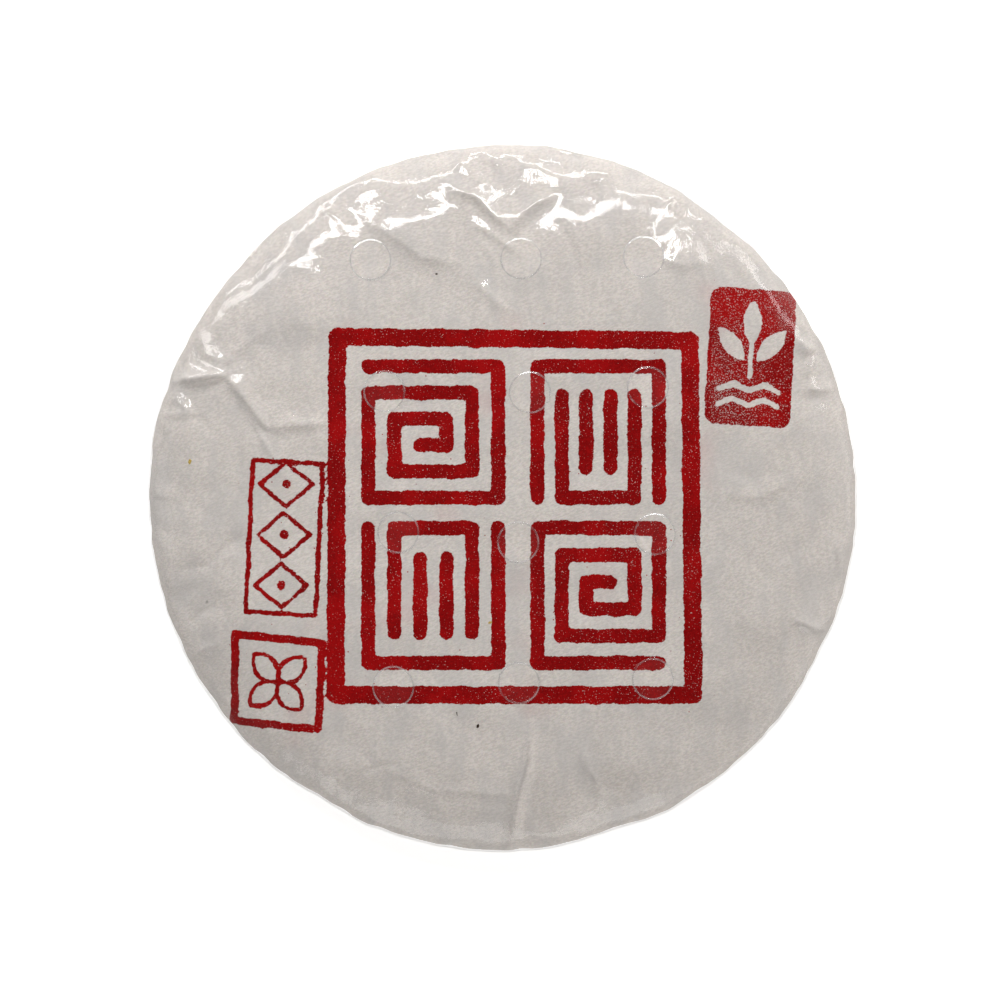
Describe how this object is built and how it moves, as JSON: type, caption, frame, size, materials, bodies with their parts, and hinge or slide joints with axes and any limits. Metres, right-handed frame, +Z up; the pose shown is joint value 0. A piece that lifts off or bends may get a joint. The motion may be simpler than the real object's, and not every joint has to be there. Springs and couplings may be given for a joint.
{
  "type": "oolong tea cake",
  "caption": "Flat round cake of pressed oolong tea in soft creased paper with red stamps, sealed in tight clear film with round vent holes.",
  "frame": {"origin": "on the ground under the middle of the cake, which lies with its stamped face up", "axes": "+Z up through the middle of the cake, +Y towards the top of the stamped face, +X to its right"},
  "size_m": [0.2, 0.2, 0.0229],
  "materials": {
    "wrapping_paper": "soft fibrous cotton paper",
    "clear_film": "thin clear shrink film with a high gloss and fine wrinkles"
  },
  "bodies": {
    "root": {"wrapped_tea_cake": "wrapping_paper"}
  },
  "joints": []
}
